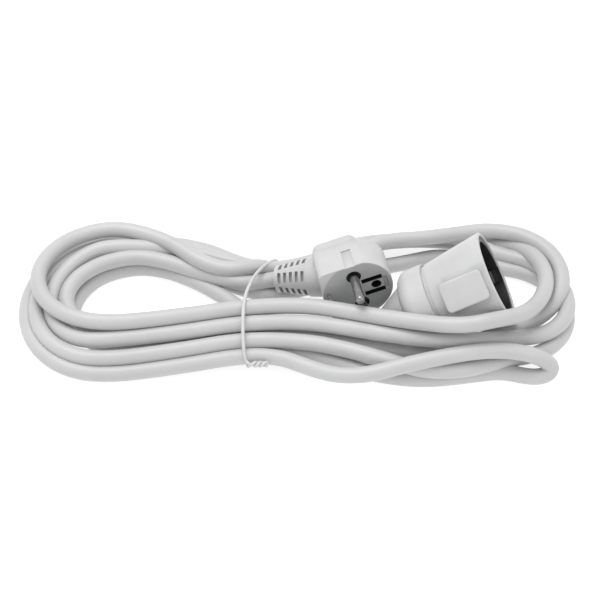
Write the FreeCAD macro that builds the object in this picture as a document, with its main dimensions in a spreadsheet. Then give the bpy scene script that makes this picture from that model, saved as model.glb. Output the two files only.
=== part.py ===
"""Household extension cord, tied up as a hank: angled plug, in-line socket, three-core flex.

Millimetres. The floor is z = 0, +X runs along the hank toward the socket end, +Y to the back.
The plug is modelled in its own frame (x away from the cable, y along the pin line, z out of
the face) and so is the socket (y along the pin line, z out of the mouth). One placement each
puts them where they lie in the hank.
"""
import FreeCAD
import Part
import math
import os

V = FreeCAD.Vector
doc = FreeCAD.newDocument("extension_cord")

# ---------------------------------------------------------------- driving dimensions
SIZES = [
    ("cord_dia", 8.4, "outer diameter of the three-core flex"),
    ("core_dia", 2.7, "outer diameter of one insulated core"),
    ("seat_gap", 0.05, "radial gap of a seated metal piece in its moulding"),
    ("pin_dia", 4.8, "contact pin"),
    ("pin_reach", 19.0, "pin length in front of the face"),
    ("pin_pitch", 19.0, "pin centre distance"),
    ("pin_tail", 13.0, "pin length behind the face"),
    ("plug_round", 18.6, "radius of the plug's round end"),
    ("plug_flat", 34.6, "width across the plug's flats"),
    ("plug_depth", 19.6, "plug body depth behind the face"),
    ("plug_heel", 17.5, "reach of the plug body toward the cable"),
    ("panel_rise", 5.0, "thickness of the raised rear panel"),
    ("panel_run", 24.0, "length of the rear panel along the plug"),
    ("panel_inset", 0.5, "step from the body edge to the rear panel"),
    ("face_round", 17.9, "radius of the grey carrier"),
    ("face_flat", 33.2, "width across the carrier's flats"),
    ("face_plate", 3.2, "thickness of the carrier plate"),
    ("core_block", 10.0, "depth of the carrier block behind its plate"),
    ("key_width", 5.0, "guide groove width in the plug's flats"),
    ("key_depth", 0.55, "guide groove depth"),
    ("key_run", 13.0, "guide groove length"),
    ("earth_hole", 10.0, "earth socket distance from the plug's centre"),
    ("face_slot", 3.0, "width of the two slots beside the earth socket"),
    ("strip_thick", 0.8, "thickness of the earth strips"),
    ("clip_width", 7.0, "width of the plug's earth clips"),
    ("boot_near", 10.2, "strain relief radius at the plug"),
    ("boot_far", 7.3, "strain relief radius at its collar"),
    ("boot_run", 19.0, "strain relief length of the plug"),
    ("boot_tilt", 20.0, "slant of the plug's cable exit, degrees"),
    ("boot_step", 4.6, "distance from the heel to the start of the strain relief"),
    ("slot_count", 5, "flex slots in each row of the plug's strain relief"),
    ("slot_rows", 6, "rows of flex slots round a strain relief"),
    ("slot_pitch", 3.4, "distance between flex slots"),
    ("slot_width", 1.8, "width of a flex slot along the cable"),
    ("slot_span", 5.4, "width of a flex slot across the cable"),
    ("slot_depth", 2.6, "depth of a flex slot"),
    ("mouth_round", 24.6, "outer radius of the socket's mouth"),
    ("waist_round", 20.2, "outer radius of the housing at its rear end"),
    ("housing_run", 32.0, "housing length"),
    ("rim_wall", 1.9, "white rim thickness"),
    ("bore_run", 26.0, "depth of the housing's bore"),
    ("well_round", 19.6, "radius of the socket well"),
    ("well_depth", 17.5, "depth of the socket well"),
    ("well_floor", 2.4, "thickness of the well's floor"),
    ("rear_round", 21.2, "radius of the rear cover"),
    ("rear_run", 15.5, "length of the rear cover"),
    ("groove_run", 2.0, "length of the groove between housing and rear cover"),
    ("tail_near", 15.0, "strain relief radius at the rear cover"),
    ("tail_far", 6.6, "strain relief radius at its collar"),
    ("tail_run", 18.0, "strain relief length of the socket"),
    ("pad_run", 23.0, "length of the flat pad on the housing"),
    ("pad_rise", 0.9, "rise of the flat pad over the mouth"),
    ("pad_width", 16.0, "width of the flat pad"),
    ("entry_dia", 5.3, "pin entry holes in the well's floor"),
    ("bracket_width", 6.6, "width of the socket's earth bracket"),
    ("shutter_round", 13.2, "radius of the shutter disc"),
    ("shutter_plate", 1.2, "thickness of the shutter disc"),
    ("pivot_dia", 3.0, "shutter pivot"),
    ("run_gap", 0.3, "gap around the moving shutter"),
    ("tie_wire", 2.0, "thickness of the twist tie"),
    ("hank_high", 30.0, "height of the tied hank"),
    ("hank_round", 7.0, "rounding along the hank's upper edges"),
]

sheet = doc.addObject("Spreadsheet::Sheet", "sizes")
for row, (alias, value, note) in enumerate(SIZES, start=1):
    sheet.set("A%d" % row, note)
    sheet.set("B%d" % row, str(value))
    sheet.setAlias("B%d" % row, alias)
doc.recompute()


def size(alias):
    """Value of one driving dimension."""
    return float(sheet.get(alias))


# ---------------------------------------------------------------- placements
def frame_at(origin, x_axis, z_axis):
    """Placement with the given z axis exact and the x axis as near as it can be."""
    z = V(*z_axis).normalize()
    y = z.cross(V(*x_axis)).normalize()
    x = y.cross(z)
    turn = FreeCAD.Rotation(x, y, z, "ZYX")
    return FreeCAD.Placement(V(*origin), turn)


PLUG_AT = frame_at((32.0, -5.3, 24.9), (0.949, 0.181, 0.260), (0.175, -0.984, 0.045))
SOCKET_AT = frame_at((103.0, -7.4, 36.8), (0.147, 0.741, -0.653), (0.8916, 0.0989, 0.4409))


# ---------------------------------------------------------------- building blocks
def bind(obj, expressions):
    """Drive properties of obj from the sheet."""
    for prop, text in expressions.items():
        obj.setExpression(prop, text)
    return obj


def cylinder(name, radius, height, base=(0, 0, 0), axis=(0, 0, 1)):
    obj = doc.addObject("Part::Cylinder", name)
    obj.Placement = FreeCAD.Placement(V(*base), FreeCAD.Rotation(V(0, 0, 1), V(*axis)))
    return bind(obj, {"Radius": radius, "Height": height})


def cone(name, radius_1, radius_2, height, base=(0, 0, 0), axis=(0, 0, 1)):
    obj = doc.addObject("Part::Cone", name)
    obj.Placement = FreeCAD.Placement(V(*base), FreeCAD.Rotation(V(0, 0, 1), V(*axis)))
    return bind(obj, {"Radius1": radius_1, "Radius2": radius_2, "Height": height})


def box(name, length, width, height, corner):
    obj = doc.addObject("Part::Box", name)
    bind(obj, {"Length": length, "Width": width, "Height": height})
    obj.Placement = FreeCAD.Placement(V(0, 0, 0), FreeCAD.Rotation())
    for axis, text in zip("xyz", corner):
        obj.setExpression("Placement.Base.%s" % axis, text)
    return obj


def fuse(name, pieces):
    obj = doc.addObject("Part::MultiFuse", name)
    obj.Shapes = pieces
    return obj


def common(name, pieces):
    obj = doc.addObject("Part::MultiCommon", name)
    obj.Shapes = pieces
    return obj


def cut(name, base, tools):
    obj = doc.addObject("Part::Cut", name)
    obj.Base = base
    obj.Tool = tools[0] if len(tools) == 1 else fuse(name + "_tools", tools)
    return obj


def fillet(name, base, radius, chosen):
    """Round the edges of base for which chosen(edge) is true."""
    doc.recompute()
    obj = doc.addObject("Part::Fillet", name)
    obj.Base = base
    edges = base.Shape.Edges
    obj.Edges = [(i, radius, radius) for i, edge in enumerate(edges, start=1) if chosen(edge)]
    return obj


def shaped(name, shape):
    """A document object for a shape that primitives can't make."""
    obj = doc.addObject("Part::Feature", name)
    obj.Shape = shape
    return obj


def rounded_route(points):
    """Wire of straight runs joined by tangent arcs through hand-picked points."""
    pts = [V(*p) for p in points]
    edges = []
    radii = []
    start = pts[0]
    for before, corner, after in zip(pts, pts[1:], pts[2:]):
        toward = (before - corner).normalize()
        onward = (after - corner).normalize()
        shorter = min((before - corner).Length, (after - corner).Length)
        half_turn = (math.pi - toward.getAngle(onward)) / 2
        radius = 0.45 * shorter / math.tan(half_turn)
        reach = radius * math.tan(half_turn)
        enter = corner + toward * reach
        leave = corner + onward * reach
        middle = (toward + onward).normalize()
        top = corner + middle * (radius / math.cos(half_turn) - radius)
        edges.append(Part.LineSegment(start, enter).toShape())
        edges.append(Part.Arc(enter, top, leave).toShape())
        radii.append(round(radius, 1))
        start = leave
    edges.append(Part.LineSegment(start, pts[-1]).toShape())
    return Part.Wire(edges), radii


def round_tube(points, radius):
    """Solid of a round section swept along a rounded route."""
    route, radii = rounded_route(points)
    heading = (V(*points[1]) - V(*points[0])).normalize()
    ring = Part.Wire(Part.Circle(V(*points[0]), heading, radius).toShape())
    solid = route.makePipeShell([ring], True, False)
    return solid, route.Length, radii


NODES = []


def finish(obj, name, place=None):
    """Name a finished sub-part, place it and queue it for export."""
    obj.Label = name
    if place is not None:
        obj.Placement = place.multiply(obj.Placement)
    NODES.append(obj)
    return obj


# ---------------------------------------------------------------- plug
def flats(name, width):
    """Slab that clips a round plan to the width across its flats."""
    return box(name, "60", width, "80", ("-30", "-(%s) / 2" % width, "-60"))


def plug_shell():
    drum = cylinder("plug_drum", "sizes.plug_round", "sizes.plug_depth")
    drum.setExpression("Placement.Base.z", "-sizes.plug_depth")
    heel = box("plug_heel_block", "sizes.plug_heel", "sizes.plug_flat", "sizes.plug_depth",
               ("-sizes.plug_heel", "-sizes.plug_flat / 2", "-sizes.plug_depth"))
    heel = fillet("plug_heel_soft", heel, 3.5, lambda e: on_line(e, "z", x=-size("plug_heel")))
    clipped = common("plug_clipped", [drum, flats("plug_flats", "sizes.plug_flat")])
    panel = box("plug_panel", "sizes.panel_run", "sizes.plug_flat - 2 * sizes.panel_inset",
                "sizes.panel_rise + 1",
                ("-sizes.plug_heel + sizes.panel_inset",
                 "-sizes.plug_flat / 2 + sizes.panel_inset",
                 "-sizes.plug_depth - sizes.panel_rise"))
    panel = fillet("plug_panel_soft", panel, 5.0, lambda e: on_line(e, "z"))
    neck = boot_cone("plug_neck", "sizes.boot_near + 1.4", "sizes.boot_near + 0.4", "13.4", -8.0)
    body = fuse("plug_solid", [clipped, heel, panel, neck])
    seat = common("plug_seat", [
        cylinder("plug_seat_round", "sizes.face_round + sizes.seat_gap", "sizes.face_plate",
                 (0, 0, -size("face_plate"))),
        flats("plug_seat_flats", "sizes.face_flat + 2 * sizes.seat_gap")])
    cavity = box("plug_cavity", "26", "25", "sizes.core_block + 5.4",
                 ("-13", "-12.5", "-sizes.face_plate - sizes.core_block - 5.3"))
    passage = boot_bore("plug_passage", "5.0", "10", -6.0)
    outlet = boot_bore("plug_outlet", "3.6", "14", -2.0)
    grooves = [box("plug_groove_%d" % side, "sizes.key_width", "sizes.key_depth + 1",
                   "sizes.key_run",
                   ("-sizes.key_width / 2",
                    "sizes.plug_flat / 2 - sizes.key_depth" if side > 0
                    else "-sizes.plug_flat / 2 - 1",
                    "-sizes.key_run"))
               for side in (1, -1)]
    return finish(cut("plug_shell", body,
                      [seat, cavity, passage, outlet] + grooves + clip_pockets("plug_clip_slot")),
                  "plug_shell", PLUG_AT)


def on_line(edge, direction, x=None, y=None):
    """True for a straight edge along an axis, at the given x or y when asked."""
    if edge.Curve.TypeId != "Part::GeomLine":
        return False
    run = edge.Vertexes[-1].Point - edge.Vertexes[0].Point
    along = {"x": run.x, "y": run.y, "z": run.z}[direction]
    if abs(abs(along) - run.Length) > 1e-6:
        return False
    at = edge.CenterOfMass
    return (x is None or abs(at.x - x) < 1e-3) and (y is None or abs(at.y - y) < 1e-3)


def boot_start():
    """Where the plug's slanted cable exit leaves the heel."""
    return V(-17.0, 0.0, -19.0)


def boot_heading():
    """Direction of the plug's slanted cable exit."""
    tilt = math.radians(size("boot_tilt"))
    return V(-math.cos(tilt), 0.0, -math.sin(tilt))


def boot_cone(name, radius_1, radius_2, height, ahead):
    start = boot_start() + boot_heading() * ahead
    return cone(name, radius_1, radius_2, height, tuple(start), tuple(boot_heading()))


def boot_bore(name, radius, height, ahead):
    start = boot_start() + boot_heading() * ahead
    return cylinder(name, radius, height, tuple(start), tuple(boot_heading()))


def plug_insert():
    """Grey carrier: the face plate with the block that holds pins and earth parts."""
    plate = common("insert_plate", [
        cylinder("insert_round", "sizes.face_round", "sizes.face_plate",
                 (0, 0, -size("face_plate"))),
        flats("insert_flats", "sizes.face_flat")])
    block = box("insert_block", "24", "23", "sizes.core_block + 0.4",
                ("-12", "-11.5", "-sizes.face_plate - sizes.core_block"))
    recesses = [cylinder("insert_recess_%d" % side, "sizes.pin_dia / 2 + 1.5", "1.2",
                         (0, side * size("pin_pitch") / 2, -1.0)) for side in (1, -1)]
    bores = [cylinder("insert_bore_%d" % side, "sizes.pin_dia / 2 + sizes.seat_gap", "30",
                      (0, side * size("pin_pitch") / 2, -20)) for side in (1, -1)]
    earth = cylinder("insert_earth_bore", "2.6 + sizes.seat_gap", "21",
                     (size("earth_hole"), 0, -20.4))
    slots = [box("insert_slot_%d" % side, "11.0", "sizes.face_slot", "8.2",
                 ("3.0", "2.9" if side > 0 else "-2.9 - sizes.face_slot", "-8"))
             for side in (1, -1)]
    clips = clip_pockets("insert_clip_slot")
    return finish(cut("plug_insert", fuse("insert_solid", [plate, block]),
                      recesses + bores + [earth] + slots + clips), "plug_insert", PLUG_AT)


def plug_pin(side, name):
    """Turned contact pin with a rounded tip and a thinner crimp barrel behind."""
    y = side * size("pin_pitch") / 2
    shank = cylinder(name + "_shank", "sizes.pin_dia / 2", "sizes.pin_reach + sizes.pin_tail",
                     (0, y, -size("pin_tail")))
    shank = fillet(name + "_tip", shank, 1.6,
                   lambda e: abs(e.CenterOfMass.z - size("pin_reach")) < 1e-6)
    hollow = cylinder(name + "_crimp", "sizes.core_dia / 2 + sizes.seat_gap", "4",
                      (0, y, -size("pin_tail")))
    return finish(cut(name, shank, [hollow]), name, PLUG_AT)


def clip_pockets(name):
    """Slots on the plug's axis line that the two earth clips stand in."""
    return [box("%s_%d" % (name, side), "1.9", "sizes.clip_width + 0.4", "9.4",
                ("14.3" if side > 0 else "-16.2", "-sizes.clip_width / 2 - 0.2", "-9.2"))
            for side in (1, -1)]


def plug_earth_clip(side, name):
    """Spring strip near the rim of the plug that meets the socket's earth contact."""
    edge = "-sizes.clip_width / 2"
    blade = box(name + "_blade", "sizes.strip_thick", "sizes.clip_width", "8.6",
                ("16.0 - sizes.strip_thick" if side > 0 else "-16.0", edge, "-8.8"))
    nose = box(name + "_nose", "1.5", "sizes.clip_width", "sizes.strip_thick",
               ("14.5" if side > 0 else "-16.0", edge, "-0.9"))
    return finish(fuse(name, [blade, nose]), name, PLUG_AT)


def plug_earth_sleeve():
    """Round contact behind the earth hole for sockets with an earth pin."""
    sleeve = cylinder("sleeve_outer", "2.6", "5.6", (size("earth_hole"), 0, -10.2))
    bore = cylinder("sleeve_bore", "2.2", "5", (size("earth_hole"), 0, -8.8))
    return finish(cut("plug_earth_sleeve", sleeve, [bore]), "plug_earth_sleeve", PLUG_AT)


def core_wire(name, points, place):
    """One insulated core along a bent route."""
    solid, length, radii = round_tube(points, size("core_dia") / 2)
    print("%s: length %.1f, bends %s" % (name, length, radii))
    return finish(shaped(name, solid), name, place)


def plug_cores():
    """The three insulated cores from the pins and the earth sleeve to the cable exit."""
    tail = -size("pin_tail")
    pitch = size("pin_pitch") / 2
    core_wire("plug_core_live", [(0, pitch, tail + 0.2), (0, pitch, tail - 2.8),
                                 (-9.5, 3.4, -16.4), (-20.0, 1.5, -21.0)], PLUG_AT)
    core_wire("plug_core_neutral", [(0, -pitch, tail + 0.2), (0, -pitch, tail - 2.8),
                                    (-9.5, -3.4, -16.4), (-20.0, -1.5, -21.0)], PLUG_AT)
    core_wire("plug_core_earth", [(size("earth_hole"), 0, -10.4), (size("earth_hole"), 0, -15.0),
                                  (0, 0, -15.3), (-10, 0, -15.2), (-21.2, 0, -18.6)], PLUG_AT)


def strain_slots(name, start, heading, radius, taper, first_row):
    """Rings of flex slots cut round a strain relief.

    start is the middle of the first ring, radius the body's there, taper its loss per millimetre
    and first_row the turn of the first row about the cable.
    """
    tools = []
    depth, span, width = size("slot_depth"), size("slot_span"), size("slot_width")
    rows = int(size("slot_rows"))
    across = heading.cross(V(0, 1, 0))
    for ring in range(int(size("slot_count"))):
        ahead = ring * size("slot_pitch")
        for row in range(rows):
            spin = FreeCAD.Rotation(heading, first_row + 360.0 * row / rows)
            outward = spin.multVec(across)
            turn = FreeCAD.Rotation(outward, heading.cross(outward), heading, "ZXY")
            block = doc.addObject("Part::Box", "%s_%d_%d" % (name, ring, row))
            bind(block, {"Length": "sizes.slot_depth + 2", "Width": "sizes.slot_span",
                         "Height": "sizes.slot_width"})
            corner = V(radius - taper * ahead - depth, -span / 2, -width / 2)
            block.Placement = FreeCAD.Placement(start + heading * ahead + turn.multVec(corner), turn)
            tools.append(block)
    return tools


BOOT_FIRST_ROW = 48.8


def plug_strain_relief():
    """Slanted cone of the plug's cable exit, with its flex slots and end collar."""
    body = boot_cone("boot_body", "sizes.boot_near", "sizes.boot_far - 0.5",
                     "sizes.boot_run - 0.8", size("boot_step") + 0.8)
    collar = boot_bore("boot_collar", "sizes.boot_far", "2.2",
                       size("boot_step") + size("boot_run") - 2.2)
    bore = boot_bore("boot_bore", "3.3", "sizes.boot_run + 12", 0.0)
    taper = (size("boot_near") - size("boot_far") + 0.5) / (size("boot_run") - 0.8)
    slots = strain_slots("boot_slot", boot_start() + boot_heading() * 7.0, boot_heading(),
                         size("boot_near") - 1.6 * taper, taper, BOOT_FIRST_ROW)
    return finish(cut("plug_strain_relief", fuse("boot_solid", [body, collar]), [bore] + slots),
                  "plug_strain_relief", PLUG_AT)


# ---------------------------------------------------------------- in-line socket
FLARE = "(sizes.mouth_round - sizes.waist_round) / sizes.housing_run"


def socket_housing():
    """White flared housing with a flat pad on its side, open at the mouth."""
    run = size("housing_run")
    flare = cone("housing_flare", "sizes.waist_round", "sizes.mouth_round", "sizes.housing_run",
                 (0, 0, -run))
    flare = fillet("housing_soft", flare, 0.7, lambda e: e.CenterOfMass.z > -1)
    pad = box("housing_pad", "6", "sizes.pad_width", "sizes.pad_run",
              ("-sizes.mouth_round - sizes.pad_rise", "-sizes.pad_width / 2",
               "-sizes.pad_run - 3.3"))
    pad = fillet("housing_pad_corners", pad, 2.6, lambda e: on_line(e, "x"))
    outer = -size("mouth_round") - size("pad_rise")
    pad = fillet("housing_pad_soft", pad, 1.0, lambda e: abs(e.CenterOfMass.x - outer) < 1e-3)
    bore = cone("housing_bore",
                "sizes.mouth_round - sizes.rim_wall - sizes.bore_run * (%s)" % FLARE,
                "sizes.mouth_round - sizes.rim_wall", "sizes.bore_run",
                (0, 0, -size("bore_run")))
    back = cylinder("housing_back", "sizes.waist_round - 3", "12", (0, 0, -run - 1))
    return finish(cut("socket_housing", fuse("housing_solid", [flare, pad]), [bore, back]),
                  "socket_housing", SOCKET_AT)


def socket_insert():
    """Black liner: the well, its floor with the pin entries and the two guide ribs."""
    outer = "sizes.mouth_round - sizes.rim_wall - sizes.seat_gap"
    depth = size("well_depth")
    body = cone("liner_body", "%s - 24.4 * (%s)" % (outer, FLARE),
                "%s - 0.8 * (%s)" % (outer, FLARE), "24.4 - 0.8", (0, 0, -24.4))
    well = cylinder("liner_well", "sizes.well_round", "sizes.well_depth", (0, 0, -depth))
    chamber = cylinder("liner_chamber", "sizes.shutter_round + sizes.run_gap",
                       "24.5 - sizes.well_depth - sizes.well_floor", (0, 0, -24.5))
    ribs = [box("liner_rib_%d" % side, "4.4", "1.7", "sizes.well_depth - 2",
                ("-2.2", "sizes.well_round - 1.3" if side > 0 else "-sizes.well_round - 0.4",
                 "-sizes.well_depth")) for side in (1, -1)]
    entries = [cylinder("liner_entry_%d" % side, "sizes.entry_dia / 2", "10",
                        (0, side * size("pin_pitch") / 2, -24)) for side in (1, -1)]
    earth = [box("liner_earth_slot_%d" % side, "3.6", "7.6", "30",
                 ("17.6" if side > 0 else "-21.2", "-3.8", "-28")) for side in (1, -1)]
    pivot = cylinder("liner_pivot_bore", "sizes.pivot_dia / 2 + sizes.seat_gap", "0.9",
                     (0, 0, -depth - size("well_floor") - 0.01))
    hollow = cut("liner_hollow", body, [well, chamber])
    return finish(cut("socket_insert", fuse("liner_ribbed", [hollow] + ribs),
                      entries + earth + [pivot]), "socket_insert", SOCKET_AT)


def shutter_level():
    """Front face of the shutter disc, just behind the well's floor."""
    return -size("well_depth") - size("well_floor") - size("run_gap")


def socket_shutter():
    """Disc that covers the pin entries and turns aside when both pins push in."""
    plate = size("shutter_plate")
    disc = cylinder("shutter_disc", "sizes.shutter_round", "sizes.shutter_plate",
                    (0, 0, shutter_level() - plate))
    centre = cylinder("shutter_bore", "sizes.pivot_dia / 2 + 0.05", "4",
                      (0, 0, shutter_level() - plate - 1))
    ways = []
    for side in (1, -1):
        turn = math.radians(-32)
        x = -side * size("pin_pitch") / 2 * math.sin(turn)
        y = side * size("pin_pitch") / 2 * math.cos(turn)
        ways.append(cylinder("shutter_way_%d" % side, "sizes.entry_dia / 2", "4",
                             (x, y, shutter_level() - plate - 1)))
    return finish(cut("socket_shutter", disc, [centre] + ways), "socket_shutter", SOCKET_AT)


def socket_pivot():
    """Headed pivot that carries the shutter and its spring."""
    level = shutter_level() - size("shutter_plate") - size("run_gap")
    stem = cylinder("pivot_stem", "sizes.pivot_dia / 2",
                    "sizes.shutter_plate + 2 * sizes.run_gap + 0.7", (0, 0, level))
    head = cylinder("pivot_head", "3.0", "1.2", (0, 0, level - 1.2))
    return finish(fuse("socket_pivot", [stem, head]), "socket_pivot", SOCKET_AT)


def socket_spring():
    """Return spring of the shutter, coiled round the pivot's head."""
    level = shutter_level() - size("shutter_plate") - size("run_gap")
    ring = doc.addObject("Part::Torus", "spring_ring")
    bind(ring, {"Radius1": "3.9", "Radius2": "0.35"})
    ring.Placement.Base = V(0, 0, level - 0.7)
    return finish(ring, "socket_shutter_spring", SOCKET_AT)


def socket_contact(side, name):
    """Split contact sleeve that grips a pin, with its crimp barrel."""
    y = side * size("pin_pitch") / 2
    sleeve = cylinder(name + "_sleeve", "3.0", "10", (0, y, -34.6))
    bore = cylinder(name + "_bore", "2.45", "8.4", (0, y, -33.0))
    split = box(name + "_split", "1.0", "4", "7",
                ("-0.5", "%g" % (y if side > 0 else y - 4), "-31.6"))
    crimp = cylinder(name + "_crimp", "sizes.core_dia / 2 + sizes.seat_gap", "2",
                     (0, y, -35.6))
    return finish(cut(name, sleeve, [bore, split, crimp]), name, SOCKET_AT)


def socket_earth_bracket():
    """U-shaped earth strip whose two ends stand in the well's side slots."""
    width, thick, edge = "sizes.bracket_width", "sizes.strip_thick", "-sizes.bracket_width / 2"
    ends = [box("bracket_end_%d" % side, thick, width, "22.8",
                ("17.9" if side > 0 else "-18.7", edge, "-25.4")) for side in (1, -1)]
    noses = [cylinder("bracket_nose_%d" % side, "0.9", width,
                      (side * 17.7, -size("bracket_width") / 2, -5.5), (0, 1, 0))
             for side in (1, -1)]
    steps = [box("bracket_step_%d" % side, "3.6", width, thick,
                 ("15.1" if side > 0 else "-18.7", edge, "-25.4")) for side in (1, -1)]
    legs = [box("bracket_leg_%d" % side, thick, width, "9.2",
                ("15.1" if side > 0 else "-15.9", edge, "-33.8")) for side in (1, -1)]
    bridge = box("bracket_bridge", "31.8", width, thick, ("-15.9", edge, "-33.8"))
    return finish(fuse("socket_earth_bracket", ends + noses + steps + legs + [bridge]),
                  "socket_earth_bracket", SOCKET_AT)


def contact_carrier():
    """Block behind the shutter that holds the two contact sleeves upright."""
    block = box("carrier_block", "13", "28", "8.1", ("-6.5", "-14", "-32.6"))
    bores = [cylinder("carrier_bore_%d" % side, "3.05", "14",
                      (0, side * size("pin_pitch") / 2, -36)) for side in (1, -1)]
    middle = cylinder("carrier_relief", "4.8", "8", (0, 0, -27.4))
    return finish(cut("socket_contact_carrier", block, bores + [middle]),
                  "socket_contact_carrier", SOCKET_AT)


def socket_rear_cover():
    """Rounded rear cover with the grooved joint and the cable passage."""
    front = -size("housing_run")
    ring = cylinder("rear_groove", "sizes.waist_round - 0.9", "sizes.groove_run + 0.5",
                    (0, 0, front - size("groove_run") - 0.5))
    bell = cylinder("rear_bell", "sizes.rear_round", "sizes.rear_run",
                    (0, 0, front - size("groove_run") - size("rear_run")))
    bell = fillet("rear_soft", bell, 7.5,
                  lambda e: e.CenterOfMass.z < front - size("rear_run"))
    bell = fillet("rear_lip", bell, 1.0, lambda e: e.CenterOfMass.z > front - 3
                  and e.Curve.TypeId == "Part::GeomCircle")
    inside = cylinder("rear_inside", "16.6", "13.0", (0, 0, front - size("groove_run") - 9.6))
    funnel = cone("rear_funnel", "4.0", "11", "5.4", (0, 0, front - 15.6))
    passage = cylinder("rear_passage", "3.6", "20", (0, 0, front - 20))
    return finish(cut("socket_rear_cover", fuse("rear_solid", [ring, bell]),
                      [inside, funnel, passage]), "socket_rear_cover", SOCKET_AT)


def tail_end():
    """Level of the socket's cable exit."""
    return -size("housing_run") - size("groove_run") - size("rear_run") - size("tail_run")


def socket_strain_relief():
    """Smooth cone that leads the flex out of the rear cover."""
    start = tail_end() + size("tail_run")
    body = cone("tail_body", "sizes.tail_near", "sizes.tail_far - 0.6", "sizes.tail_run - 2",
                (0, 0, start), (0, 0, -1))
    collar = cylinder("tail_collar", "sizes.tail_far", "3", (0, 0, tail_end()))
    bore = cylinder("tail_bore", "3.3", "40", (0, 0, tail_end() - 1))
    return finish(cut("socket_strain_relief", fuse("tail_solid", [body, collar]), [bore]),
                  "socket_strain_relief", SOCKET_AT)


def socket_cores():
    """The three insulated cores from the contacts and the earth bracket to the cable exit."""
    pitch = size("pin_pitch") / 2
    core_wire("socket_core_live", [(0, pitch, -34.9), (0, pitch, -38.4), (0, 2.4, -44.8),
                                   (0, 1.75, -52)], SOCKET_AT)
    core_wire("socket_core_neutral", [(0, -pitch, -34.9), (0, -pitch, -38.4), (0, -2.4, -44.8),
                                      (0, -1.75, -52)], SOCKET_AT)
    core_wire("socket_core_earth", [(7.6, 0, -33.8), (7.6, 0, -38.0), (2.6, 0, -44.0),
                                    (2.0, 0, -49)], SOCKET_AT)


# ---------------------------------------------------------------- flex
def closed_outline(points):
    """Smooth closed outline through hand-picked plan points."""
    curve = Part.BSplineCurve()
    curve.interpolate([V(x, y, 0) for x, y in points], PeriodicFlag=True)
    return Part.Wire(curve.toShape())


HANK_OUTLINE = [(-146, 2), (-132, 36), (-100, 52), (-60, 47), (-27, 42), (20, 53), (70, 56),
                (122, 47), (146, 4), (135, -34), (100, -52), (40, -53), (-27, -40),
                (-62, -47), (-100, -53), (-133, -38)]
LEFT_EYE = [(-112, 0), (-100, 15), (-76, 18), (-50, 8), (-44, -2), (-58, -11), (-84, -17),
            (-104, -14)]
RIGHT_EYE = [(-16, -1), (-9, 25), (20, 33), (64, 36), (108, 32), (123, 8), (119, -24),
             (98, -37), (66, -38), (40, -27), (10, -25), (-12, -21)]
TIE_UNDER = [(-27.2, -41.0, 1.0), (-21.2, 44.0, 1.0)]


def cord_hank():
    """Outer shape of the coiled, tied part of the flex."""
    rim = Part.Face(closed_outline(HANK_OUTLINE)).extrude(V(0, 0, size("hank_high")))
    for eye in (LEFT_EYE, RIGHT_EYE):
        rim = rim.cut(Part.Face(closed_outline(eye)).extrude(V(0, 0, size("hank_high"))))
    top = [e for e in rim.Edges
           if abs(e.BoundBox.ZMin - size("hank_high")) < 1e-6 and e.BoundBox.XLength > 200]
    rim = rim.makeFillet(size("hank_round"), top)
    middle = rim.optimalBoundingBox(False).Center
    rim.translate(V(-middle.x, -middle.y, 0))
    under = V(*TIE_UNDER[1]) - V(*TIE_UNDER[0])
    groove = Part.makeCylinder(size("tie_wire") / 2 + 0.2, under.Length + 12,
                               V(*TIE_UNDER[0]) - under.normalize() * 6, under)
    rim = rim.cut(groove)
    return finish(shaped("cord_hank", rim), "cord_hank")


def lead(name, points):
    """One uncoiled stretch of the flex."""
    solid, length, radii = round_tube(points, size("cord_dia") / 2)
    section = math.pi * (size("cord_dia") / 2) ** 2
    print("%s: length %.1f, bends %s, volume ratio %.3f"
          % (name, length, radii, solid.Volume / (section * length)))
    return finish(shaped(name, solid), name)


def cord_leads():
    """The two short stretches of flex between the hank and the plug and socket."""
    plug_exit = PLUG_AT.multVec(boot_start() + boot_heading() * (size("boot_run") + size("boot_step")))
    plug_run = PLUG_AT.Rotation.multVec(boot_heading())
    socket_exit = SOCKET_AT.multVec(V(0, 0, tail_end()))
    socket_run = SOCKET_AT.Rotation.multVec(V(0, 0, -1))
    print("plug exit %s heading %s" % (plug_exit, plug_run))
    print("socket exit %s heading %s" % (socket_exit, socket_run))
    lead("cord_lead_plug", [tuple(plug_exit), tuple(plug_exit + plug_run * 4),
                            (-18.5, 14.9, 10.9)])
    lead("cord_lead_socket", [tuple(socket_exit), tuple(socket_exit + socket_run * 5),
                              (24, -15.3, 4.4), (4, -15.2, 4.6), (-17.5, -13, 6.0)])


def twist_tie():
    """Coated wire round the waist of the hank, its two ends laid together at the front."""
    loop = [(-12, -49.5, 2.6), (-25, -45.5, 2.6), TIE_UNDER[0], TIE_UNDER[1], (-21, 45, 14),
            (-22, 43, 31), (-25.8, 1.5, 31.4), (-29.5, -40, 30.5), (-27.2, -43.6, 7.5),
            (-12.5, -49.0, 5.4)]
    solid, length, radii = round_tube(loop, size("tie_wire") / 2)
    print("twist_tie: length %.1f, bends %s" % (length, radii))
    return finish(shaped("twist_tie", solid), "twist_tie")


plug_shell()
plug_insert()
plug_pin(1, "plug_pin_live")
plug_pin(-1, "plug_pin_neutral")
plug_earth_clip(1, "plug_earth_clip_far")
plug_earth_clip(-1, "plug_earth_clip_near")
plug_earth_sleeve()
plug_cores()
plug_strain_relief()
socket_housing()
socket_insert()
socket_shutter()
socket_pivot()
socket_spring()
contact_carrier()
socket_contact(1, "socket_contact_live")
socket_contact(-1, "socket_contact_neutral")
socket_earth_bracket()
socket_rear_cover()
socket_strain_relief()
socket_cores()
cord_hank()
cord_leads()
twist_tie()
doc.recompute()

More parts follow.
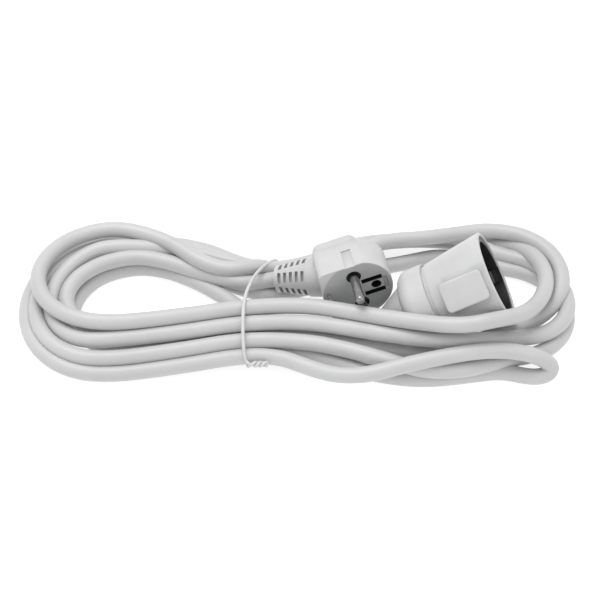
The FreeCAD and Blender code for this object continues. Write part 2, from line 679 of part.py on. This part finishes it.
for obj in doc.Objects:
    if "Invalid" in obj.State or "Error" in obj.State:
        raise RuntimeError("%s did not compute" % obj.Label)
os.makedirs("parts", exist_ok=True)
for node in NODES:
    if node.Shape.isNull() or not node.Shape.isValid():
        raise RuntimeError("%s has no valid shape" % node.Label)
    node.Shape.exportStep("parts/%s.step" % node.Label)
    print("%-26s %9.1f mm3  solids %d" % (node.Label, node.Shape.Volume, len(node.Shape.Solids)))
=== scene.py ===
"""A tied-up extension cord: a moulded plug and an inline socket on loose loops of round flex."""
import math
import bpy
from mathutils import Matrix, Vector


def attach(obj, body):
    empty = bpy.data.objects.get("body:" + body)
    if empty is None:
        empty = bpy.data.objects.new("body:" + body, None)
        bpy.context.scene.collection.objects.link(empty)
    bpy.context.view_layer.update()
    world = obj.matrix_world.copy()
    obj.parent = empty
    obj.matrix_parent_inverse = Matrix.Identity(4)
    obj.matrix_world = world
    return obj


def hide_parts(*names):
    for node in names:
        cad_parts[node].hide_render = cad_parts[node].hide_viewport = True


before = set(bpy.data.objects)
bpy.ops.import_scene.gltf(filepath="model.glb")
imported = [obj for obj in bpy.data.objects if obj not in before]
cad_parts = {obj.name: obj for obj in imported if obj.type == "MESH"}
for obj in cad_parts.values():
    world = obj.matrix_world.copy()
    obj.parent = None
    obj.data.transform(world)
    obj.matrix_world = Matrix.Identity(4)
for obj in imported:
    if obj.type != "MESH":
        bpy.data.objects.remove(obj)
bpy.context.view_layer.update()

MM = 0.001
FLEX = 8.4 * MM
TIE_WIRE = 1.8 * MM
SOFT_GLOSS = 0.45


# ---------------------------------------------------------------- camera

TARGET = Vector((0.0016, 0.0, 0.0125))
VIEW_TILT = math.radians(45)
camera = bpy.data.objects.new("camera", bpy.data.cameras.new("camera"))
camera.data.lens = 114.4
camera.data.clip_start = 0.05
camera.location = TARGET + Vector((0, -math.cos(VIEW_TILT), math.sin(VIEW_TILT)))
camera.rotation_euler = (VIEW_TILT, 0, 0)
bpy.context.collection.objects.link(camera)
bpy.context.scene.camera = camera


# ---------------------------------------------------------------- the flex's route, in millimetres

def mixed(a, b, share):
    """A value the given share of the way from a to b."""
    return a + (b - a) * share


def round_end(start_x, reach, near, far, level, lean=0, steps=6):
    """The round end of one loop, from its near side to its far side, each (y, z).

    level is the height at the outermost point, and lean shifts that point back.
    """
    middle = (near[0] + far[0]) / 2
    points = []
    for step in range(steps + 1):
        turn = math.pi * step / steps
        x = start_x + (reach - start_x) * math.sin(turn)
        y = middle + (near[0] - middle) * math.cos(turn) + lean * math.sin(turn)
        z = mixed(near[1], far[1], step / steps)
        z += (level - (near[1] + far[1]) / 2) * math.sin(turn)
        points.append((x, y, z))
    return points


# Where the front strands and the back ones pass the tie, and where the front ones turn towards it.
TIE_FRONT_X = -27
TIE_BACK_X = -14
FRONT_BEND_X = -60


def left_end(back_lane, way_out, end, front_lane):
    """Half a turn round the left: in by a back lane, out by a front one, each (y, z) at the tie."""
    near = end["near"]
    points = [(TIE_BACK_X, *back_lane)] if back_lane else []
    points += way_out
    points += round_end(**{**end, "near": end["far"], "far": near})
    points.append((FRONT_BEND_X, mixed(front_lane[0], near[0], 0.55),
                   mixed(front_lane[1], near[1], 0.5)))
    points.append((TIE_FRONT_X, *front_lane))
    return points


def right_end(way_out, end, way_back):
    """Half a turn round the right, from the front of the tie to the back of it."""
    return way_out + round_end(**end) + way_back


def end(start_x, reach, near, far, level, lean=0):
    """The measures of one round end."""
    return dict(start_x=start_x, reach=reach, near=near, far=far, level=level, lean=lean)


# The two tails, each a stretch between a strain relief and the tie.
PLUG_EXIT = (-9.9, 14.25, 13.5)
PLUG_LEAD = [PLUG_EXIT, (-13.7, 14.9, 12.5), (-18.5, 14.9, 10.9)]
SOCKET_EXIT = (42.8, -14.1, 7.0)
SOCKET_LEAD = [(-17.5, -13, 6), (4, -15.2, 4.6), (24, -15.3, 4.4), (38.3, -14.6, 4.8), SOCKET_EXIT]

# The cord from the plug's tail on: half a turn round the left, then each turn of the hank, its
# right half and the left half that follows it. The turns differ in size and height because they
# are loose everywhere but at the tie. The curl is the small loop that lies in front at the right.
FIRST_LEFT = left_end(
    None, [(-27, 13.5, 11.4), (-37, 15.3, 11.6), (-52, 22.5, 10.6), (-68, 29.5, 11.6)],
    end(-86, -122, (-24, 9.5), (33.4, 12.2), 13, -4), (-20.5, 8.6))
TURNS = [
    (right_end([(5, -23, 9), (40, -32, 8), (72, -36, 8)],
               end(104, 141.5, (-22, 9), (48.6, 17.4), 17),
               [(86, 46, 16.4), (74, 43.6, 16.6), (64, 42.2, 16.4), (54, 41.6, 16.4),
                (42, 38.8, 16), (30, 29.5, 13.5), (17, 20.5, 6.5), (4, 16, 4.4)]),
     left_end((11, 4.4), [(-24, 14.5, 4.4), (-33, 18, 4.5), (-42, 25.5, 4.7), (-52, 36, 4.8),
                          (-66, 42, 4.8)],
              end(-98, -138, (-41.4, 10), (46, 9.5), 9, -3), (-29.5, 13))),
    (right_end([(5, -31, 13), (24, -36, 13), (42, -42, 12.5), (54, -46, 11), (68, -50.5, 11.5),
                (84, -50, 11.8), (97, -45.5, 11)],
               end(107, 143.5, (-40, 9), (33, 4.4), 5.4),
               [(94, 37.5, 4.4), (78, 42, 4.4), (60, 36.5, 4.4), (46, 33, 4.4), (34, 31.5, 4.4),
                (18, 29, 4.4), (4, 25, 4.4)]),
     left_end((21.5, 4.4), [(-24, 26.5, 10.8), (-38, 29, 12.5), (-60, 38, 12)],
              end(-100, -130, (-32, 14.6), (38.5, 15.5), 11, -3), (-22, 17.4))),
    (right_end([(5, -21.4, 17.7), (33, -28.4, 18.7), (66, -38, 21.5), (92, -38, 21)],
               end(109, 143.5, (-32, 16.5), (38, 8.8), 11.5, -3),
               [(92, 46.8, 11.2), (78, 49.4, 10.8), (66, 48.4, 10.4), (55, 47.5, 10.4),
                (43, 45.8, 10.8), (31, 42.6, 11.4), (17, 34.5, 11.5), (3, 27.5, 11)]),
     left_end((23.5, 11.5), [(-19, 22.5, 15), (-26, 19.5, 17), (-37, 17.2, 17.2),
                             (-52, 24, 17), (-68, 39, 17.5)],
              end(-95, -137.5, (-26.5, 21.5), (50, 18), 18.5), (-14.5, 21.3))),
    (right_end([(5, -13.6, 22.3), (33, -21.6, 23.8), (62, -34, 30), (84, -40.9, 34.5)],
               end(101, 132, (-38.2, 36.7), (47, 6.5), 20, 7),
               [(95, 50.5, 4.8), (74, 54.3, 4.4), (54, 53.6, 4.4), (36, 50, 4.4), (18, 41, 4.4),
                (3, 34, 4.5)]),
     left_end((30, 4.6), [(-31, 34.5, 5), (-50, 46.5, 4.8), (-74, 52, 4.5)],
              end(-98, -144, (-47.2, 4.5), (57, 4.5), 4.6, -3), (-36.5, 8.6))),
]
CURL = [(-8, -38, 8.8), (6, -45, 8.5), (20, -53, 11), (36, -54.5, 13), (54, -51.5, 17),
        (74, -48, 19.5), (93, -45.5, 21.5), (108, -44.5, 20.5), (121, -44.5, 17), (128, -45, 12.5),
        (130.5, -46, 8.5), (127, -48, 5.4), (119, -48, 4.4), (105, -43.5, 4.3), (88, -46.5, 4.3),
        (64, -50, 4.3), (40, -46, 4.3), (22, -38.5, 4.3), (5, -32, 4.6)]
LAST_LEFT = [(-27, -27.5, 6.2), (-60, -26, 4.6), (-92, -29, 4.4), (-110, -22, 4.4),
             (-118.5, -9, 4.4), (-117.5, 9, 4.4), (-107, 25, 4.4), (-88, 33, 4.4), (-71, 30.5, 4.6),
             (-55, 22, 5), (-40, 10.5, 5.5), (-28, -2.5, 6.2)]


def flex_points():
    """The whole route in metres, from the socket to the plug."""
    points = PLUG_LEAD + FIRST_LEFT
    for right_half, left_half in TURNS:
        points += right_half + left_half
    points += CURL + LAST_LEFT + SOCKET_LEAD
    return [Vector(p) * MM for p in reversed(points)]


def smooth_line(name, points, along):
    """One NURBS spline with these control points, without thickness."""
    data = bpy.data.curves.new(name, "CURVE")
    data.dimensions = "3D"
    spline = data.splines.new("NURBS")
    spline.points.add(len(points) - 1)
    for place, point in zip(spline.points, points):
        place.co = (*point, 1)
    spline.order_u = 3
    spline.use_endpoint_u = True
    spline.resolution_u = along
    return bpy.data.objects.new(name + "_line", data)


def smooth_tube(name, points, thickness, ring=8, along=8):
    """A round tube along that spline: the object and the places of its centreline."""
    line = smooth_line(name, points, along)
    places = [vertex.co.copy() for vertex in bpy.data.meshes.new_from_object(line).vertices]
    line.data.bevel_depth = thickness / 2
    line.data.bevel_resolution = ring
    line.data.use_fill_caps = True
    mesh = bpy.data.meshes.new_from_object(line)
    bpy.data.objects.remove(line)
    mesh.shade_smooth()
    obj = bpy.data.objects.new(name, mesh)
    bpy.context.collection.objects.link(obj)
    return obj, places


flex, flex_line = smooth_tube("flex", flex_points(), FLEX)


# ---------------------------------------------------------------- materials

class Graph:
    """A material's node tree, with short ways to add and join nodes."""

    def __init__(self, name):
        self.material = bpy.data.materials.new(name)
        self.material.use_nodes = True
        self.nodes = self.material.node_tree.nodes
        self.links = self.material.node_tree.links
        self.shader = self.nodes["Principled BSDF"]
        self.place = self.add("ShaderNodeTexCoord").outputs["Object"]

    def add(self, kind, **values):
        """A node of that kind, with its own settings."""
        node = self.nodes.new(kind)
        for key, value in values.items():
            setattr(node, key, value)
        return node

    def join(self, source, target):
        """Links an output to an input."""
        self.links.new(source, target)

    def noise(self, size, detail=3.0, roughness=0.55, stretch=(1, 1, 1)):
        """Noise whose blotches are about `size` metres across."""
        mapping = self.add("ShaderNodeMapping")
        mapping.inputs["Scale"].default_value = stretch
        self.join(self.place, mapping.inputs["Vector"])
        node = self.add("ShaderNodeTexNoise")
        node.inputs["Scale"].default_value = 1 / size
        node.inputs["Detail"].default_value = detail
        node.inputs["Roughness"].default_value = roughness
        self.join(mapping.outputs["Vector"], node.inputs["Vector"])
        return node.outputs["Fac"]

    def ramp(self, source, *stops):
        """A colour ramp of (position, colour) stops."""
        node = self.add("ShaderNodeValToRGB")
        for stop in stops[2:]:
            node.color_ramp.elements.new(stop[0])
        for element, (position, colour) in zip(node.color_ramp.elements, sorted(stops)):
            element.position = position
            element.color = (*colour, 1)
        self.join(source, node.inputs["Fac"])
        return node.outputs["Color"]

    def range(self, source, low, high, from_low=0.3, from_high=0.7):
        """Maps a noise to the span low to high."""
        node = self.add("ShaderNodeMapRange")
        for socket, value in zip(("From Min", "From Max", "To Min", "To Max"),
                                 (from_low, from_high, low, high)):
            node.inputs[socket].default_value = value
        self.join(source, node.inputs["Value"])
        return node.outputs["Result"]

    def blend(self, share, colour_a, colour_b):
        """Mixes two colour outputs by a share."""
        node = self.add("ShaderNodeMix", data_type="RGBA")
        self.join(share, node.inputs["Factor"])
        self.join(colour_a, node.inputs[6])
        self.join(colour_b, node.inputs[7])
        return node.outputs[2]

    def bump(self, height, depth, strength=1.0, under=None):
        """A bump of that depth in metres, on top of another one if given."""
        node = self.add("ShaderNodeBump")
        node.inputs["Strength"].default_value = strength
        node.inputs["Distance"].default_value = depth
        self.join(height, node.inputs["Height"])
        if under is not None:
            self.join(under, node.inputs["Normal"])
        return node.outputs["Normal"]

    def surface(self, colour=None, roughness=None, normal=None):
        """Joins the outputs to the shader."""
        for output, socket in ((colour, "Base Color"), (roughness, "Roughness"),
                               (normal, "Normal")):
            if output is not None:
                self.join(output, self.shader.inputs[socket])


def scaled(colour, factor):
    """A colour made lighter or darker."""
    return tuple(min(1.0, channel * factor) for channel in colour)


def moulding(name, colour, roughness, grain=0.0009, depth=0.00002, spread=0.05, face=None):
    """Moulded plastic: faint clouding, painted shade in its hollows, an eroded-steel grain and soft
    gloss.

    face is the (origin, outward) of a face whose recesses get painted shade.
    """
    graph = Graph(name)
    cloud = graph.noise(0.016, 4.0)
    tone = graph.ramp(cloud, (0.3, scaled(colour, 1 - spread)), (0.72, scaled(colour, 1 + spread)))
    geometry = graph.add("ShaderNodeNewGeometry")
    # Painted shade: concave places, found by pointiness, take a colour about a quarter darker.
    hollow = graph.range(geometry.outputs["Pointiness"], 0.0, 1.0, 0.42, 0.5)
    hollow_shade_colour = graph.ramp(cloud, (0.0, scaled(colour, 0.72)), (1.0, scaled(colour, 0.8)))
    fine = graph.noise(grain, 2.0)
    flow = graph.noise(0.02, 2.0)
    normal = graph.bump(fine, depth, 0.6, graph.bump(flow, 0.0002, 0.25))
    shade = graph.blend(hollow, hollow_shade_colour, tone)
    if face:
        shade = shadowed_recesses(graph, *face, shade, 0.2 * MM)
    graph.surface(shade, graph.range(fine, roughness - 0.05, roughness + 0.07), normal)
    graph.shader.inputs["Specular IOR Level"].default_value = SOFT_GLOSS
    return graph.material


def shadowed_recesses(graph, origin, outward, colour, depth):
    """Paints shade: blends a colour to near black from one to two depths (in metres) behind a face.
    """
    behind = graph.add("ShaderNodeVectorMath", operation="DOT_PRODUCT")
    graph.join(graph.place, behind.inputs[0])
    behind.inputs[1].default_value = outward
    level = origin.dot(outward)
    sunk = graph.range(behind.outputs["Value"], 1.0, 0.0, level - 2 * depth, level - depth)
    # Painted shade: this near-black colour stands for the shadow in the recesses.
    black = graph.add("ShaderNodeRGB")
    black.outputs[0].default_value = (0.012, 0.012, 0.012, 1)
    return graph.blend(sunk, colour, black.outputs[0])


def sheath(name, colour):
    """PVC flex sheath: a soft gloss, faint scuff marks and the cores' lay under the skin."""
    graph = Graph(name)
    cloud = graph.noise(0.03, 3.0)
    tone = graph.ramp(cloud, (0.3, scaled(colour, 0.95)), (0.7, scaled(colour, 1.04)))
    scuff = graph.noise(0.0035, 5.0, 0.7)
    marks = graph.range(scuff, 0.0, 1.0, 0.62, 0.8)
    worn = graph.ramp(scuff, (0.0, scaled(colour, 0.86)), (1.0, scaled(colour, 0.9)))
    fine = graph.noise(0.0006, 2.0)
    lay = graph.noise(0.011, 1.0)
    normal = graph.bump(fine, 0.00001, 0.5, graph.bump(lay, 0.0003, 0.25))
    graph.surface(graph.blend(marks, tone, worn), graph.range(scuff, 0.36, 0.5), normal)
    graph.shader.inputs["Specular IOR Level"].default_value = SOFT_GLOSS
    graph.shader.inputs["Coat Weight"].default_value = 0.08
    graph.shader.inputs["Coat Roughness"].default_value = 0.35
    return graph.material


def metal(name, colour, roughness, stretch=(1, 1, 1), spread=0.18):
    """Plated or rolled metal: fine tool marks and a slight tarnish in patches."""
    graph = Graph(name)
    patch = graph.noise(0.004, 4.0)
    tone = graph.ramp(patch, (0.3, scaled(colour, 1 - spread)), (0.7, scaled(colour, 1.05)))
    marks = graph.noise(0.0012, 3.0, 0.6, stretch)
    graph.surface(tone, graph.range(marks, roughness - 0.08, roughness + 0.12),
                  graph.bump(marks, 0.00002, 0.5))
    graph.shader.inputs["Metallic"].default_value = 1.0
    return graph.material


# A point of the plug's contact face and the way that the face looks; the carrier gets painted shade
# behind it.
PLUG_FACE = (Vector((0.0320, -0.0053, 0.0249)), Vector((0.175, -0.984, 0.045)).normalized())
LOOKS = {
    "white_moulding": moulding("white_moulding", (0.5, 0.5, 0.502), 0.42),
    "grey_carrier": moulding("grey_carrier", (0.36, 0.362, 0.365), 0.45, face=PLUG_FACE),
    "black_liner": moulding("black_liner", (0.012, 0.012, 0.013), 0.4),
    "inner_moulding": moulding("inner_moulding", (0.42, 0.42, 0.4), 0.5),
    "flex_sheath": sheath("flex_sheath", (0.48, 0.48, 0.482)),
    "tie_coating": sheath("tie_coating", (0.56, 0.56, 0.565)),
    "core_brown": moulding("core_brown", (0.13, 0.05, 0.02), 0.35),
    "core_blue": moulding("core_blue", (0.02, 0.1, 0.36), 0.35),
    "core_green_yellow": moulding("core_green_yellow", (0.35, 0.45, 0.04), 0.35),
    "nickel_pin": metal("nickel_pin", (0.3, 0.3, 0.3), 0.22, (1, 1, 4), 0.08),
    "nickel_strip": metal("nickel_strip", (0.52, 0.51, 0.49), 0.34, (4, 1, 1)),
    # Near-black metal; on the plug's earth sleeve it is painted shade in the earth hole.
    "dark_metal_and_hole_shade": metal("dark_metal_and_hole_shade", (0.1, 0.1, 0.1), 0.4, (4, 1, 1)),
    "contact_brass": metal("contact_brass", (0.66, 0.47, 0.2), 0.3, (1, 4, 1)),
    "spring_steel": metal("spring_steel", (0.5, 0.5, 0.5), 0.3),
}

NODE_LOOKS = {
    "plug_shell": "white_moulding", "plug_strain_relief": "white_moulding",
    "plug_insert": "grey_carrier", "plug_pin_live": "nickel_pin", "plug_pin_neutral": "nickel_pin",
    "plug_earth_clip_far": "nickel_strip", "plug_earth_clip_near": "nickel_strip",
    # The earth sleeve's near-black look is painted shade in its hole.
    "plug_earth_sleeve": "dark_metal_and_hole_shade", "plug_core_live": "core_brown",
    "plug_core_neutral": "core_blue", "plug_core_earth": "core_green_yellow",
    "socket_housing": "white_moulding", "socket_rear_cover": "white_moulding",
    "socket_strain_relief": "white_moulding", "socket_insert": "black_liner",
    "socket_shutter": "inner_moulding", "socket_pivot": "nickel_pin",
    "socket_shutter_spring": "spring_steel", "socket_contact_carrier": "inner_moulding",
    "socket_contact_live": "contact_brass", "socket_contact_neutral": "contact_brass",
    "socket_earth_bracket": "dark_metal_and_hole_shade", "socket_core_live": "core_brown",
    "socket_core_neutral": "core_blue", "socket_core_earth": "core_green_yellow",
    "cord_hank": "flex_sheath", "cord_lead_plug": "flex_sheath",
    "cord_lead_socket": "flex_sheath", "twist_tie": "tie_coating",
}


def dress(obj, look):
    """Gives a piece one of the looks."""
    if obj.material_slots:
        for slot in obj.material_slots:
            slot.material = LOOKS[look]
    else:
        obj.data.materials.append(LOOKS[look])


for node, look in NODE_LOOKS.items():
    dress(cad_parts[node], look)


# ---------------------------------------------------------------- the pieces

def stands_for(piece, look, *cad_nodes):
    """A piece on the main body that takes the place of CAD nodes."""
    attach(piece, "cord_set")
    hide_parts(*cad_nodes)
    dress(piece, look)


stands_for(flex, "flex_sheath", "cord_hank", "cord_lead_plug", "cord_lead_socket")

# The twist in the tie's ends: where its axis starts, its radius, and the run and turn of one step.
TWIST_START = (-15, -44, 9.8)
TWIST_RADIUS = 1.1
TWIST_RUN = 1.1
TWIST_TURN = math.radians(75)
TWIST_STEPS = 8


def twisted_end(phase):
    """One of the tie's two ends, wound round the other in front of the hank's lowest strand."""
    x, y, z = TWIST_START
    points = []
    for step in range(TWIST_STEPS):
        turn = phase + step * TWIST_TURN
        points.append((x - TWIST_RUN * step, y + TWIST_RADIUS * math.cos(turn),
                       z + TWIST_RADIUS * math.sin(turn)))
    return points


TIE_LOOP = [(-25.4, -42, 9), (-26.5, -40.5, 12.5), (-27.2, -35.5, 17), (-27.4, -27, 22.5),
            (-27.2, -19.5, 26.3), (-26.4, -11, 26.4), (-24.5, 0, 23.4), (-22.2, 9, 20.8),
            (-18.6, 18, 18.2), (-13.5, 25.5, 16), (-10.8, 32.5, 10.5), (-10.8, 35, 4.6),
            (-12, 31, 0.95), (-14, 20, 0.95), (-19, -5, 0.95), (-24, -28, 0.95),
            (-25, -37.5, 2.6), (-24.8, -41.8, 5.2)]
TIE_ROUTE = twisted_end(0) + TIE_LOOP + twisted_end(math.pi)[::-1]
tie, _ = smooth_tube("tie", [Vector(p) * MM for p in TIE_ROUTE], TIE_WIRE, ring=4)
stands_for(tie, "tie_coating", "twist_tie")


# ---------------------------------------------------------------- floor and light

def floor():
    """A plain pale floor under the cord."""
    mesh = bpy.data.meshes.new("floor")
    reach = 3.0
    corners = [(-reach, -reach, 0), (reach, -reach, 0), (reach, reach, 0), (-reach, reach, 0)]
    mesh.from_pydata(corners, [], [(0, 1, 2, 3)])
    obj = bpy.data.objects.new("floor", mesh)
    bpy.context.collection.objects.link(obj)
    graph = Graph("floor_paper")
    paper = graph.noise(0.4, 2.0)
    graph.surface(graph.ramp(paper, (0.3, (0.44, 0.44, 0.44)), (0.7, (0.46, 0.46, 0.46))),
                  graph.range(paper, 0.8, 0.9))
    graph.shader.inputs["Emission Color"].default_value = (1, 1, 1, 1)
    graph.shader.inputs["Emission Strength"].default_value = 0.72
    mesh.materials.append(graph.material)


def lamp(name, place, size, power):
    """A soft square lamp aimed at the object."""
    light = bpy.data.lights.new(name, "AREA")
    light.size = size
    light.energy = power
    obj = bpy.data.objects.new(name, light)
    obj.location = place
    obj.rotation_euler = (TARGET - Vector(place)).to_track_quat("-Z", "Y").to_euler()
    bpy.context.collection.objects.link(obj)


floor()
lamp("key", (-0.35, 0.3, 1.5), 1.0, 15)
lamp("fill", (0.9, -0.8, 1.1), 1.2, 3)
bpy.context.scene.view_settings.view_transform = "Standard"
world = bpy.data.worlds.new("studio")
bpy.context.scene.world = world
world.use_nodes = True
world.node_tree.nodes["Background"].inputs["Color"].default_value = (1, 1, 1, 1)
world.node_tree.nodes["Background"].inputs["Strength"].default_value = 0.85
